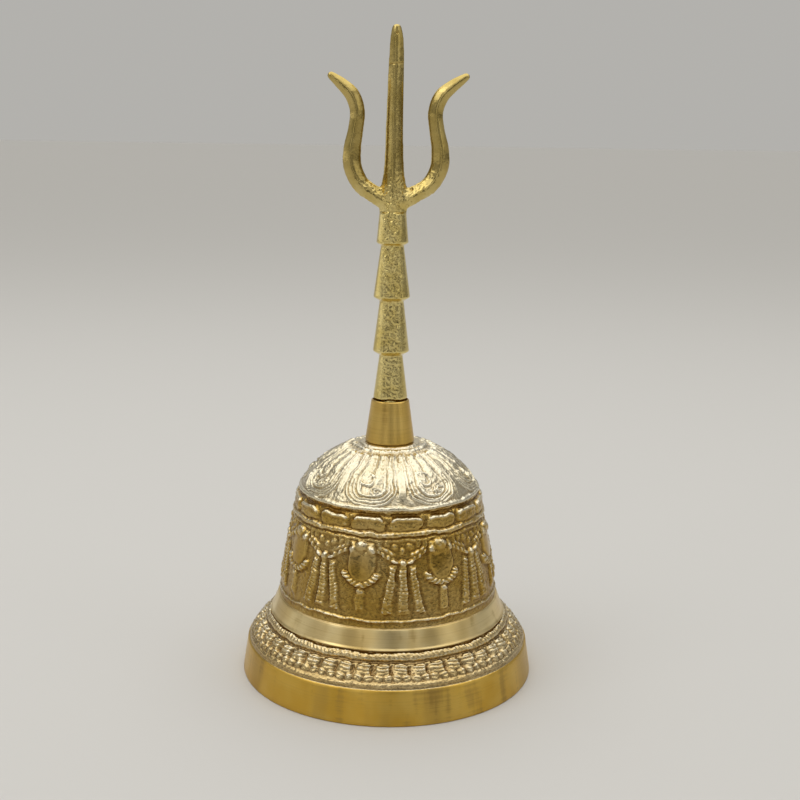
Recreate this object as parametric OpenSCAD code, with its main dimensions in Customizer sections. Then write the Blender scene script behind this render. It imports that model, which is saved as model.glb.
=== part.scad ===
// Hand bell with a trident handle: cast shell, turned ferrule, cast handle, and a
// clapper that hangs from an eye bolt inside. The mouth's rim rests on z = 0.
// The trident lies in the XZ plane and the clapper swings two ways.

/* [Bell mouth and flange] */
// Outside diameter of the mouth
mouth_d = 98; // [90:0.5:120]
// Height of the polished lip band
lip_band_h = 11.2; // [8:0.1:14]
// How much the radius falls over the lip band
lip_band_draft = 1.7; // [0.5:0.1:3]
// Thickness of the wall at the mouth
lip_t = 2.9; // [2.6:0.1:5]
// Height of the flange between the lip band and the waist band
flange_h = 9.9; // [9:0.1:13]
// Radius of the two rows of beads around the flange
bead_r = 1.3; // [0.8:0.05:1.5]
// Radius of the rope ring above the beads
rope_r = 1.15; // [0.7:0.05:1.3]

/* [Bell body] */
// Outside diameter at the foot of the waist band
waist_d = 78; // [70:0.5:82]
// Height of the polished waist band
waist_band_h = 6; // [4:0.1:10]
// How much the radius falls over the waist band
waist_band_draft = 2; // [0.5:0.1:3]
// How far the waist band stands proud of the body wall
waist_band_proud = 0.6; // [0.2:0.1:1.5]
// Height of the body wall, from the waist band to the shoulder
wall_h = 36.1; // [28:0.1:46]
// Outside diameter at the shoulder
shoulder_d = 59; // [48:0.5:66]
// How far the body wall bows out at its middle
wall_bow = 0.35; // [0:0.05:1]
// Height of the dome above the shoulder
dome_h = 15; // [12:0.1:20]
// Diameter of the flat crown that the ferrule stands on
crown_d = 20; // [18:0.5:26]
// Thickness of the cast wall
wall_t = 1.9; // [1.5:0.05:3.5]
// Thickness of the crown
crown_t = 3; // [2:0.1:5]

/* [Ferrule] */
// Height of the ferrule
ferrule_h = 14.1; // [10:0.1:20]
// Diameter of the ferrule at its foot
ferrule_foot_d = 16.2; // [14.5:0.1:17.5]
// Diameter of the ferrule at its top
ferrule_top_d = 12.4; // [12.2:0.1:14]
// Width of the ferrule's chamfers
ferrule_chamfer = 0.35; // [0.1:0.05:0.4]
// Depth of the socket in the top of the ferrule
socket_depth = 3; // [1.5:0.1:6]

/* [Handle stem] */
// Gap between the ferrule's top and the foot of the stem
stem_gap = 0.35; // [0.1:0.05:2]
// Heights of the four flared lengths of the stem, from the bottom
stem_heights = [14.5, 17.5, 17.3, 10.6]; // [8:0.1:24]
// Radii at the foot of the four lengths
stem_foot_radii = [5.6, 5.9, 5.9, 5.1]; // [4.8:0.1:6]
// Radii at the top of the four lengths
stem_top_radii = [3.75, 3.85, 3.7, 4.25]; // [3.6:0.05:4.6]
// Height of the bevel under each flare
stem_bevel = 1.2; // [0.6:0.1:2]
// Height of the bevel under the stem's own foot
foot_bevel = 0.3; // [0.1:0.05:0.6]
// Half depth of the stem's flat front and back, as a share of its radius
stem_flat = 0.84; // [0.75:0.01:0.95]
// Radius of the spigot that stands in the ferrule's socket
spigot_r = 4.4; // [3.6:0.1:5]

/* [Trident] */
// Height of the middle tine above the stem
middle_tine_h = 56.85; // [40:0.05:70]
// Half width of the middle tine near its foot
middle_tine_w = 3.1; // [2.2:0.1:3.6]
// Reach of the right tine's tip from the axis
right_reach = 23; // [18:0.25:28]
// Reach of the left tine's tip from the axis
left_reach = 20.5; // [18:0.25:28]
// Height of the outer tines' tips above the stem
outer_tine_h = 42; // [32:0.25:52]
// Half width of the outer tines at their widest
outer_tine_w = 3; // [2.2:0.1:3.6]
// Half depth of a tine, as a share of its half width
tine_depth = 0.85; // [0.7:0.01:1]

/* [Fixings and clapper] */
// Diameter of the eye bolt's stud
stud_d = 5; // [4:0.1:6]
// How far the stud reaches into the handle above its foot
stud_reach = 12; // [8:0.5:20]
// Radius of the eye, to the middle of its wire
eye_r = 3.6; // [3.2:0.1:5]
// Radius of the eye's wire
eye_wire = 1.2; // [0.9:0.05:1.3]
// Length of the stud below the lock nut, down to the middle of the eye
eye_drop = 6.4; // [5.6:0.1:12]
// Radius of the hanger ring, to the middle of its wire
ring_r = 4; // [3.6:0.1:6]
// Radius of the hanger ring's wire
ring_wire = 0.8; // [0.6:0.05:0.95]
// Radius of the clapper rod's loop, to the middle of its wire
loop_r = 3; // [2.9:0.1:4.5]
// Radius of the clapper rod
rod_r = 1; // [0.8:0.05:1.1]
// Radius of the clapper ball
ball_r = 7.5; // [5:0.1:9]
// Height of the middle of the clapper ball above the rim
ball_z = 15.5; // [12:0.1:22]
// Radius of the washer under the crown
washer_r = 6; // [4.5:0.1:7]
// Thickness of the washer
washer_t = 1; // [0.6:0.1:1.6]
// Width across the flats of the lock nut
nut_af = 8; // [7.8:0.1:10]
// Thickness of the lock nut
nut_t = 4; // [2.5:0.1:5]

/* [Hidden] */
$fn = 96;

// Radial clearance of a part on the stud or on the rod
fit = 0.05;
// Gap between two wires that hang on each other
link_gap = 0.1;
// How far a cutting shape runs past the surface it cuts
past = 1;

// Heights from the rim up
flange_z = lip_band_h;
waist_z = flange_z + flange_h;
wall_z = waist_z + waist_band_h;
shoulder_z = wall_z + wall_h;
crown_z = shoulder_z + dome_h;
ferrule_z = crown_z + 0.6;
ferrule_top_z = ferrule_z + ferrule_h;
stem_z = ferrule_top_z + stem_gap;

// Radii of the shell's outer face
mouth_r = mouth_d / 2;
lip_top_r = mouth_r - lip_band_draft;
waist_r = waist_d / 2;
waist_top_r = waist_r - waist_band_draft;
wall_foot_r = waist_top_r - waist_band_proud;
shoulder_r = shoulder_d / 2;
crown_r = crown_d / 2;

// The flange's plain cone, which the beads and the rope ring stand on
rim_step = 0.5;
rim_top = [lip_top_r - 2 * rim_step, flange_z + 1.2];
groove = [waist_r - rim_step, waist_z - rim_step];
function on_flange(share) = rim_top + share * (groove - rim_top);

// The dome's curve: end points, and handles that set its shoulder and its crown
function dome_point(t) =
    let (
        a = [shoulder_r, shoulder_z],
        d = [crown_r, crown_z],
        b = a + [-0.067 * (shoulder_r - crown_r), 0.287 * dome_h],
        c = a + [-0.462 * (shoulder_r - crown_r), 0.787 * dome_h]
    )
    pow(1 - t, 3) * a + 3 * t * pow(1 - t, 2) * b + 3 * t * t * (1 - t) * c + t * t * t * d;
function inward(t, depth) =
    let (step = dome_point(t + 0.01) - dome_point(t - 0.01))
    dome_point(t) + depth * [-step[1], step[0]] / norm(step);

// A point of the body wall at a share of its height, moved in by a depth
function wall_point(share, depth) = [
    wall_foot_r + share * (shoulder_r - wall_foot_r) + 4 * wall_bow * share * (1 - share) - depth,
    wall_z + share * wall_h];

dome_steps = 12;
wall_steps = 6;
inner_crown_z = crown_z - crown_t;

module bell_outside() {
    chamfer = 0.4;
    rotate_extrude()
        polygon([
            [0, 0],
            [mouth_r - chamfer, 0],
            [mouth_r, chamfer],
            [lip_top_r, flange_z],
            [lip_top_r - rim_step, flange_z],
            rim_top,
            groove,
            [waist_r - rim_step, waist_z],
            [waist_r, waist_z + rim_step],
            [waist_top_r, wall_z],
            for (i = [0 : wall_steps - 1]) wall_point(i / wall_steps, 0),
            for (i = [0 : dome_steps]) dome_point(i / dome_steps),
            [crown_r - 1, ferrule_z],
            [0, ferrule_z]]);
    for (share = [0.14, 0.44])
        ring_on_flange(share, bead_r);
    ring_on_flange(0.82, rope_r);
}

module ring_on_flange(share, radius) {
    rotate_extrude()
        translate(on_flange(share))
            circle(r = radius, $fn = 32);
}

module bell_inside() {
    rotate_extrude()
        polygon([
            [0, -past],
            [mouth_r - lip_t, -past],
            [mouth_r - lip_t, 0],
            [lip_top_r - lip_t, flange_z],
            [waist_r - wall_t - waist_band_proud, waist_z - 1.5],
            for (i = [0 : wall_steps - 1]) wall_point(i / wall_steps, wall_t),
            for (i = [0 : dome_steps])
                let (p = inward(i / dome_steps, wall_t))
                if (p[1] < inner_crown_z) p,
            [crown_r, inner_crown_z],
            [0, inner_crown_z]]);
}

module bell_shell() {
    color("#c9b876")
        difference() {
            bell_outside();
            bell_inside();
            cylinder(r = stud_d / 2 + fit, h = ferrule_z + past);
        }
}

module ferrule() {
    color("#c2a24e")
        translate([0, 0, ferrule_z])
            difference() {
                rotate_extrude()
                    polygon([
                        [0, 0],
                        [ferrule_foot_d / 2 - ferrule_chamfer, 0],
                        [ferrule_foot_d / 2, ferrule_chamfer],
                        [ferrule_top_d / 2, ferrule_h - ferrule_chamfer],
                        [ferrule_top_d / 2 - ferrule_chamfer, ferrule_h],
                        [0, ferrule_h]]);
                translate([0, 0, -past])
                    cylinder(r = stud_d / 2 + fit, h = ferrule_h + 2 * past);
                translate([0, 0, ferrule_h - socket_depth])
                    cylinder(r = ferrule_top_d / 2 - 0.55, h = socket_depth + past);
            }
}

// Heights of the foot of each length of the stem, and of the stem's top
stem_feet = [for (i = 0, z = stem_z; i <= 4; z = z + (i < 4 ? stem_heights[i] : 0), i = i + 1) z];
throat_z = stem_feet[4];

module stem_length(foot_z, height, foot_r, top_r, bevel) {
    outline = [
        [foot_r - 1.6 * bevel, 0],
        [foot_r, bevel],
        [top_r, height]];
    translate([0, 0, foot_z])
        intersection() {
            rotate_extrude()
                polygon(concat([[0, 0]], outline, [[0, height]]));
            rotate([90, 0, 90])
                translate([0, 0, -foot_r])
                    linear_extrude(2 * foot_r)
                        scale([stem_flat, 1])
                            polygon(concat(outline, [for (i = [2 : -1 : 0]) [-outline[i][0], outline[i][1]]]));
        }
}

// Stations along a tine: share of the reach, share of the rise, share of the half width
outer_stations = [
    [-0.12, 0.05, 0.9], [0.3, 0.135, 0.95], [0.5, 0.2, 0.98], [0.62, 0.33, 1], [0.63, 0.46, 0.96],
    [0.58, 0.6, 0.85], [0.557, 0.73, 0.83], [0.635, 0.84, 0.82], [0.79, 0.918, 0.68], [1, 1, 0.2]];
middle_stations = [
    [0, 0, 1.2], [0, 0.1, 1.15], [0, 0.2, 1.06], [0, 0.5, 0.92], [0, 0.86, 0.77],
    [0, 0.93, 0.7], [0, 0.975, 0.5], [0, 1, 0.25]];
station_steps = 3;

// A smooth curve through the stations, by Catmull-Rom spans
function between(a, b, c, d, t) =
    0.5 * (2 * b + (c - a) * t + (2 * a - 5 * b + 4 * c - d) * t * t + (3 * b - a - 3 * c + d) * t * t * t);
function smooth(list) =
    let (last = len(list) - 1)
    [for (i = [0 : last - 1], s = [0 : station_steps - 1])
        between(list[max(i - 1, 0)], list[i], list[i + 1], list[min(i + 2, last)], s / station_steps),
        list[last]];

// The eight corners of a tine's section: a diamond with softened sides
section = [for (k = [0 : 7])
    let (bulge = k % 2 == 0 ? 1 : 0.8)
    bulge * [cos(45 * k), tine_depth * sin(45 * k)]];

module tine(stations, reach, rise, half_width) {
    path = [for (s = smooth(stations)) [s[0] * reach, s[1] * rise, s[2] * half_width]];
    last = len(path) - 1;
    points = [for (i = [0 : last])
        let (
            ahead = path[min(i + 1, last)] - path[max(i - 1, 0)],
            side = [ahead[1], -ahead[0]] / norm([ahead[0], ahead[1]])
        )
        for (p = section) [
            path[i][0] + side[0] * p[0] * path[i][2],
            p[1] * path[i][2],
            path[i][1] + side[1] * p[0] * path[i][2]]];
    sides = [for (i = [0 : last - 1], k = [0 : 7])
        let (n = (k + 1) % 8)
        each [
            [8 * i + n, 8 * i + k, 8 * i + 8 + k],
            [8 * i + 8 + n, 8 * i + n, 8 * i + 8 + k]]];
    ends = [[for (k = [0 : 7]) k], [for (k = [7 : -1 : 0]) 8 * last + k]];
    translate([0, 0, throat_z])
        polyhedron(points, concat(sides, ends));
}

module trident_handle() {
    color("#c8a94a")
        difference() {
            union() {
                for (i = [0 : 3])
                    stem_length(stem_feet[i], stem_heights[i], stem_foot_radii[i], stem_top_radii[i],
                        i == 0 ? foot_bevel : stem_bevel);
                translate([0, 0, ferrule_top_z - socket_depth])
                    cylinder(r = spigot_r, h = socket_depth + stem_gap + 1);
                translate([0, 0, -2])
                    tine(middle_stations, 0, middle_tine_h + 2, middle_tine_w);
                tine(outer_stations, right_reach, outer_tine_h, outer_tine_w);
                tine(outer_stations, -left_reach, outer_tine_h, outer_tine_w);
            }
            translate([0, 0, ferrule_top_z - socket_depth - past])
                cylinder(r = stud_d / 2 + fit, h = socket_depth + stem_gap + stud_reach + 1.5 * past);
        }
}

// Places of the parts that hang below the crown
washer_z = inner_crown_z - washer_t;
nut_z = washer_z - nut_t;
eye_z = nut_z - eye_drop;
eye_pivot_z = eye_z - eye_r;
ring_top_z = eye_pivot_z + eye_wire + ring_wire + link_gap;
ring_z = ring_top_z - ring_r;
ring_pivot_z = ring_z - ring_r;
loop_top_z = ring_pivot_z + ring_wire + rod_r + link_gap;
loop_z = loop_top_z - loop_r;

module wire_ring(radius, wire) {
    rotate_extrude()
        translate([radius, 0])
            circle(r = wire, $fn = 32);
}

module eye_bolt() {
    color("#b9b4a8") {
        translate([0, 0, eye_z])
            rotate([90, 0, 0])
                wire_ring(eye_r, eye_wire);
        translate([0, 0, eye_z + eye_r])
            cylinder(r = stud_d / 2, h = stem_z + stud_reach - eye_z - eye_r);
    }
}

module crown_washer() {
    color("#a9a69c")
        translate([0, 0, washer_z])
            difference() {
                cylinder(r = washer_r, h = washer_t);
                translate([0, 0, -past])
                    cylinder(r = stud_d / 2 + fit, h = washer_t + 2 * past);
            }
}

module lock_nut() {
    color("#b09a52")
        translate([0, 0, nut_z])
            difference() {
                intersection() {
                    cylinder(r = nut_af / sqrt(3), h = nut_t, $fn = 6);
                    cylinder(r1 = nut_af / 2 + 0.25, r2 = nut_af / 2 + 0.25 + nut_t, h = nut_t);
                }
                translate([0, 0, -past])
                    cylinder(r = stud_d / 2 + fit, h = nut_t + 2 * past);
            }
}

module hanger_ring() {
    color("#a8a6a0")
        translate([0, 0, ring_z])
            rotate([0, 90, 0])
                wire_ring(ring_r, ring_wire);
}

rod_head_r = 1.7 * rod_r;
rod_head_h = 0.8;
ball_neck_h = 2.5;
ball_foot_z = ball_z - ball_r;

module clapper_rod() {
    color("#a8a6a0") {
        translate([0, 0, loop_z])
            rotate([90, 0, 0])
                wire_ring(loop_r, rod_r);
        translate([0, 0, ball_foot_z])
            cylinder(r = rod_r, h = loop_z - loop_r - ball_foot_z);
        translate([0, 0, ball_foot_z - rod_head_h])
            cylinder(r1 = rod_head_r - 0.5, r2 = rod_head_r, h = rod_head_h);
    }
}

module clapper_ball() {
    color("#b8963c")
        difference() {
            union() {
                intersection() {
                    translate([0, 0, ball_z])
                        sphere(r = ball_r);
                    translate([-ball_r, -ball_r, ball_foot_z + 0.25])
                        cube([2 * ball_r, 2 * ball_r, 2 * ball_r]);
                }
                translate([0, 0, ball_z])
                    cylinder(r = 2.2 * rod_r, h = ball_r + ball_neck_h);
            }
            translate([0, 0, ball_foot_z - past])
                cylinder(r = rod_r + fit, h = 2 * ball_r + ball_neck_h + 2 * past);
        }
}

bell_shell();
ferrule();
trident_handle();
eye_bolt();
crown_washer();
lock_nut();
hanger_ring();
clapper_rod();
clapper_ball();
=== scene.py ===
"""Looks of a trident-handled hand bell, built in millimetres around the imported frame."""
import collections
import functools
import itertools
import math

import bpy
import numpy as np
from mathutils import Euler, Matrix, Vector


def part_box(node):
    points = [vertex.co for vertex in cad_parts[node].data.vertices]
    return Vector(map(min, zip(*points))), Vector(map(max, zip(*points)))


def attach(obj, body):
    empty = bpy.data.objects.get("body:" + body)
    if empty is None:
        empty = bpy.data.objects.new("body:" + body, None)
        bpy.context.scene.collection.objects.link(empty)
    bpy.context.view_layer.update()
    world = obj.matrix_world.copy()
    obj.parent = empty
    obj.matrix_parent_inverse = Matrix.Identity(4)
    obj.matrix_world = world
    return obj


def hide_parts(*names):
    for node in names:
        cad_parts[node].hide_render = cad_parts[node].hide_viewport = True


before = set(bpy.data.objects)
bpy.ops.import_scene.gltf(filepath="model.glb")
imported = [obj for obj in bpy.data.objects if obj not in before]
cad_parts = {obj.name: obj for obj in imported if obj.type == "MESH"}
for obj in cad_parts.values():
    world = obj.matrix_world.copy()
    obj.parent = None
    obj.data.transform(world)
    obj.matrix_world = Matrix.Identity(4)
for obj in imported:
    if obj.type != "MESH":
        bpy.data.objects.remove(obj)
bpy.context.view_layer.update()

MM = 0.001


def box_mm(node):
    """Lowest and highest corner of a CAD node, in millimetres."""
    low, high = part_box(node)
    return np.array(low) / MM, np.array(high) / MM


# ---------------- camera, floor and light

# Where the camera stands, in metres, how it looks, in degrees, and its lens
CAMERA_PLACE = (0, -0.398, 0.1795)
LOOK_DOWN, CAMERA_ROLL = 14.0, 0.81
SENSOR_MM, LENS_MM = 36, 55.85
FRAME_SHIFT = (0.0128, 0.045)

FLOOR_REACH = 12.0
FLOOR_PAPER = (0.60, 0.59, 0.57)

# Soft boxes: name, place, aim, size and power
SOFT_BOXES = [
    ("overhead", (0, 0.1, 0.85), (0, 0, 0.05), (1.5, 1.1), 3.2),
    ("key_left", (-1.05, -0.6, 1.15), (0, 0, 0.09), (0.9, 0.9), 3.0),
    ("fill_right", (1.4, -0.8, 0.7), (0, 0, 0.09), (0.55, 1.0), 0.9)]

# The room: its brightness behind the bell and its colour
BACKDROP = 0.45
ROOM_COLOUR = (1.0, 0.98, 0.93)

# Bright panels and dark uprights of the room: bearing and half width in degrees, and strength
PANELS = [(-21, 13, 0.45), (27, 5, 0.35), (78, 16, 0.12)]
UPRIGHTS = [(-37, 7, 0.95), (5, 8, 0.95), (50, 12, 0.7), (-128, 40, 0.5), (125, 40, 0.5)]

# Low down, a glow from the left and a shade at the right: bearing, fade from and to, strength
LOW_GLOW = (-88, 48, 30, 0.7)
LOW_SHADE = (84, 48, 34, 0.8)


def make_camera():
    """The camera stands a little above the handle's foot and looks down at the bell."""
    camera = bpy.data.objects.new("camera", bpy.data.cameras.new("camera"))
    camera.location = CAMERA_PLACE
    tilt = Euler((math.pi / 2 - math.radians(LOOK_DOWN), 0, 0)).to_matrix()
    camera.rotation_euler = (tilt @ Euler((0, 0, math.radians(CAMERA_ROLL))).to_matrix()).to_euler()
    camera.data.sensor_width = SENSOR_MM
    camera.data.lens = LENS_MM
    camera.data.shift_x, camera.data.shift_y = FRAME_SHIFT
    bpy.context.scene.collection.objects.link(camera)
    bpy.context.scene.camera = camera


def add_softbox(name, place, aim, size, power):
    """A rectangular lamp that faces a point."""
    lamp = bpy.data.lights.new(name, "AREA")
    lamp.shape = "RECTANGLE"
    lamp.size, lamp.size_y = size
    lamp.energy = power
    holder = bpy.data.objects.new(name, lamp)
    holder.location = place
    holder.rotation_euler = (Vector(aim) - Vector(place)).to_track_quat("-Z", "Y").to_euler()
    bpy.context.scene.collection.objects.link(holder)


def make_floor():
    """A plain pale floor at the bell's mouth."""
    mesh = bpy.data.meshes.new("floor")
    corners = [(x * FLOOR_REACH, y * FLOOR_REACH, 0) for x, y in ((-1, -1), (1, -1), (1, 1), (-1, 1))]
    mesh.from_pydata(corners, [], [(0, 1, 2, 3)])
    floor = bpy.data.objects.new("floor", mesh)
    bpy.context.scene.collection.objects.link(floor)
    paper = Finish("floor_paper")
    paper.set(base=FLOOR_PAPER, roughness=0.85, metallic=0.0)
    mesh.materials.append(paper.material)


def make_studio():
    """The floor, the lamps and the room's light, in plain colours."""
    make_floor()
    for soft_box in SOFT_BOXES:
        add_softbox(*soft_box)
    make_room()
    bpy.context.scene.view_settings.view_transform = "Standard"


def make_room():
    """Soft light from all round, with bright panels and dark uprights; the camera sees a plain backdrop."""
    world = bpy.data.worlds.new("room")
    world.use_nodes = True
    room = Nodes(world.node_tree)
    way = room.add("ShaderNodeTexCoord", output="Generated")
    up, front = room.axis(way, "Z"), room.axis(way, "Y") * -1
    bearing = room.axis(way, "X").math("ARCTAN2", front) * math.degrees(1)
    light = BACKDROP - front.ease(-0.3, 0.5) * 0.24
    light = light + up.ease(0.06, 0.28) * 0.18 + up.ease(0.5, 0.95) * 0.50
    below_ceiling = up.ease(0.8, 0.55)
    for middle, half, bright in PANELS:
        panel = (bearing - middle).math("ABSOLUTE").ease(half, half * 0.6)
        light = light + panel * below_ceiling * bright
    low = up.ease(0.11, 0.02)
    middle, start, full, bright = LOW_GLOW
    light = light + (bearing - middle).math("ABSOLUTE").ease(start, full) * low * bright
    middle, start, full, dark = LOW_SHADE
    light = light * (1 - (bearing - middle).math("ABSOLUTE").ease(start, full) * low * dark)
    eye_level = up.ease(0.12, 0.24) * up.ease(0.75, 0.5)
    for middle, half, dark in UPRIGHTS:
        upright = (bearing - middle).math("ABSOLUTE").ease(half, half * 0.4)
        light = light * (1 - upright * eye_level * dark)
    seen = room.add("ShaderNodeLightPath", output="Is Camera Ray")
    background = world.node_tree.nodes["Background"]
    room.fill(background.inputs["Color"], ROOM_COLOUR)
    room.fill(background.inputs["Strength"], light + (BACKDROP - light) * seen)
    bpy.context.scene.world = world


# ---------------- shader building

class Wire:
    """A shader output; arithmetic on it adds Math nodes."""

    def __init__(self, nodes, socket):
        self.nodes = nodes
        self.socket = socket

    def math(self, operation, *others):
        """A Math node over this value and the others."""
        return self.nodes.add("ShaderNodeMath", {"operation": operation}, dict(enumerate((self, *others))))

    def __add__(self, other):
        return self.math("ADD", other)

    __radd__ = __add__

    def __mul__(self, other):
        return self.math("MULTIPLY", other)

    __rmul__ = __mul__

    def __sub__(self, other):
        return self.math("SUBTRACT", other)

    def __rsub__(self, other):
        return self.nodes.add("ShaderNodeMath", {"operation": "SUBTRACT"}, {0: other, 1: self})

    def ease(self, low, high):
        """0 at low and 1 at high, with a smooth step between."""
        return self.nodes.add("ShaderNodeMapRange", {"interpolation_type": "SMOOTHSTEP"},
                              {"Value": self, "From Min": low, "From Max": high})


# Places of a colour Mix node's sockets: its share, its two colours and its result
MIX_SHARE, MIX_FIRST, MIX_SECOND, MIX_RESULT = 0, 6, 7, 2


class Nodes:
    """Short ways to add nodes to one node tree."""

    def __init__(self, tree):
        self.tree = tree

    def fill(self, socket, value):
        """Links a wire to a socket, or sets the socket's own value."""
        if isinstance(value, Wire):
            self.tree.links.new(value.socket, socket)
        elif isinstance(value, tuple) and len(value) == 3 and socket.type == "RGBA":
            socket.default_value = (*value, 1)
        else:
            socket.default_value = value

    def add(self, kind, settings=None, inputs=None, output=0):
        """A node's output: settings first, then values or links for its sockets by name or place."""
        node = self.tree.nodes.new(kind)
        for name, value in (settings or {}).items():
            setattr(node, name, value)
        for name, value in (inputs or {}).items():
            self.fill(node.inputs[name], value)
        return Wire(self, node.outputs[output])

    def axis(self, vector, name):
        """A vector's X, Y or Z."""
        return self.add("ShaderNodeSeparateXYZ", inputs={0: vector}, output=name)

    def scaled(self, vector, scale):
        """A vector times another, axis by axis."""
        return self.add("ShaderNodeVectorMath", {"operation": "MULTIPLY"}, {0: vector, 1: scale})

    def mix(self, share, first, second):
        """A colour between two colours."""
        return self.add("ShaderNodeMix", {"data_type": "RGBA"},
                        {MIX_SHARE: share, MIX_FIRST: first, MIX_SECOND: second}, output=MIX_RESULT)


class Finish(Nodes):
    """A material with one Principled shader."""

    def __init__(self, name):
        self.material = bpy.data.materials.new(name)
        self.material.use_nodes = True
        super().__init__(self.material.node_tree)
        self.shader = self.tree.nodes["Principled BSDF"]

    def place(self):
        """Where a point of the piece is, in metres."""
        return self.add("ShaderNodeTexCoord", output="Object")

    def height(self):
        """A point's height above the mouth, in millimetres."""
        return self.axis(self.place(), "Z") * (1 / MM)

    def attribute(self, name):
        """A number that the mesh keeps for each point."""
        return self.add("ShaderNodeAttribute", {"attribute_name": name}, output="Fac")

    def noise(self, scale, detail=3.0, roughness=0.55, where=None):
        """Noise from 0 to 1, with about this many lumps to the metre."""
        return self.add("ShaderNodeTexNoise", inputs={
            "Vector": where or self.place(), "Scale": scale, "Detail": detail, "Roughness": roughness})

    def turning_marks(self, scale):
        """Fine rings that run round the axis, from a lathe tool."""
        radius = self.add("ShaderNodeVectorMath", {"operation": "LENGTH"},
                          {0: self.scaled(self.place(), (1, 1, 0))}, output="Value")
        rings = self.add("ShaderNodeCombineXYZ", inputs={0: radius, 2: self.axis(self.place(), "Z")})
        return self.noise(scale, 2.0, 0.6, where=rings)

    def set(self, base, roughness, metallic=1.0, bump=None, depth=0.0, strength=1.0):
        """Feeds the shader; the bump's depth is in millimetres."""
        self.fill(self.shader.inputs["Metallic"], metallic)
        self.fill(self.shader.inputs["Base Color"], base)
        self.fill(self.shader.inputs["Roughness"], roughness)
        if bump is not None:
            raised = self.add("ShaderNodeBump", inputs={
                "Height": bump, "Distance": depth * MM, "Strength": strength}, output="Normal")
            self.fill(self.shader.inputs["Normal"], raised)


def cast_relief():
    """Sand-cast brass: bright where brushing wore it, with painted pale highlights on high, upward-facing
    edges; brown in the hollows; pale on the dome and a little on the flange, a painted reflection of the
    overhead light.
    """
    finish = Finish("cast_relief")
    wear_and_sheen, burnish = finish.attribute("wear_and_sheen"), finish.attribute("burnish")
    lumps = finish.noise(1100, 1.5, 0.5)
    sand = finish.noise(3000, 1.0, 0.5)
    cloud = finish.noise(70, 3.0, 0.5).ease(0.35, 0.65)
    patches = finish.noise(38, 2.0, 0.5).ease(0.55, 0.75) * 0.35
    uneven = lumps - 0.5
    height = finish.height() + uneven * 1.2
    # Painted reflection of the overhead light: the upward-facing dome, and a third as much the flange, turn
    # pale silver, hollows and all.
    on_dome = height.ease(SHOULDER_Z - 0.7, SHOULDER_Z + 1.3)
    on_flange = height.ease(WAIST_Z + 1.4, WAIST_Z - 0.6)
    painted_top_reflection = on_dome + on_flange * 0.3
    tone = (wear_and_sheen + uneven * 0.4 + painted_top_reflection * 0.12).ease(0.05, 0.95)
    # Painted highlight: high points and upward-facing top edges turn pale silver.
    painted_edge_highlight = (wear_and_sheen + uneven * 0.3).ease(0.72, 1.15) * 0.85
    golden = finish.mix(cloud, (0.50, 0.32, 0.065), (0.60, 0.42, 0.13))
    golden = finish.mix(patches, golden, (0.52, 0.44, 0.27))
    # The pale silver colour of the painted highlight and the painted reflection.
    painted_sheen_colour = finish.mix(cloud, (0.71, 0.64, 0.455), (0.78, 0.72, 0.565))
    hollow = finish.mix(painted_top_reflection, (0.18, 0.095, 0.02), (0.46, 0.35, 0.18))
    brass_and_sheen = finish.mix(painted_top_reflection + (1 - painted_top_reflection) * painted_edge_highlight, golden, painted_sheen_colour)
    finish.set(
        base=finish.mix(tone, hollow, brass_and_sheen),
        roughness=0.24 - tone * 0.07 + (sand - 0.5) * 0.14 - burnish * 0.05,
        bump=(sand * 0.35 + lumps - 0.67) * (1 - burnish),
        depth=0.24,
        strength=0.7)
    return finish.material


def turned_brass():
    """Brass turned on a lathe and polished, with rings of tool marks; vertical streaks and blotches that are
    partly stain and partly painted reflections of dark vertical bars; warmer on the lip, where it is a
    painted reflection of a gold floor cloth, and on the ferrule.
    """
    finish = Finish("turned_brass")
    rings = finish.turning_marks(5200)
    wide_rings = finish.turning_marks(1100)
    cloud = finish.noise(55, 3.0, 0.55).ease(0.35, 0.68)
    # Vertical streaks and blotches: partly stain, partly painted reflections of dark vertical bars, most of
    # all on the lip.
    streaks = finish.noise(1, 3.0, 0.55, where=finish.scaled(finish.place(), (170, 170, 12)))
    blotches = finish.noise(1, 2.0, 0.5, where=finish.scaled(finish.place(), (75, 75, 6)))
    uneven = wide_rings - 0.5
    stain_and_bar_reflections = (streaks + uneven * 0.3).ease(0.46, 0.28) + blotches.ease(0.54, 0.37) * 0.75
    # The lip's warmer, more orange colour is a painted reflection of a gold floor cloth; the ferrule is
    # warmer too.
    on_lip = finish.height().ease(LIP_BAND_Z + 4.8, LIP_BAND_Z - 0.2)
    on_ferrule = finish.height().ease(FERRULE_Z - 2.8, FERRULE_Z + 0.2)
    lip_reflection_and_ferrule_warmth = on_lip + on_ferrule * 0.8
    plain_gold = finish.mix(cloud, (0.71, 0.53, 0.22), (0.82, 0.67, 0.355))
    warm_gold = finish.mix(cloud, (0.60, 0.365, 0.055), (0.68, 0.455, 0.10))
    clean = finish.mix(lip_reflection_and_ferrule_warmth, plain_gold, warm_gold)
    finish.set(
        base=finish.mix(stain_and_bar_reflections * 0.55 + rings.ease(0.52, 0.3) * 0.22, clean, (0.36, 0.23, 0.06)),
        roughness=0.30 + lip_reflection_and_ferrule_warmth * 0.05 + uneven * 0.14 + stain_and_bar_reflections * 0.06,
        bump=rings + wide_rings * 0.6,
        depth=0.02,
        strength=0.6)
    finish.shader.inputs["Anisotropic"].default_value = 0.8
    finish.shader.inputs["Anisotropic Rotation"].default_value = 0.25
    return finish.material


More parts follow.
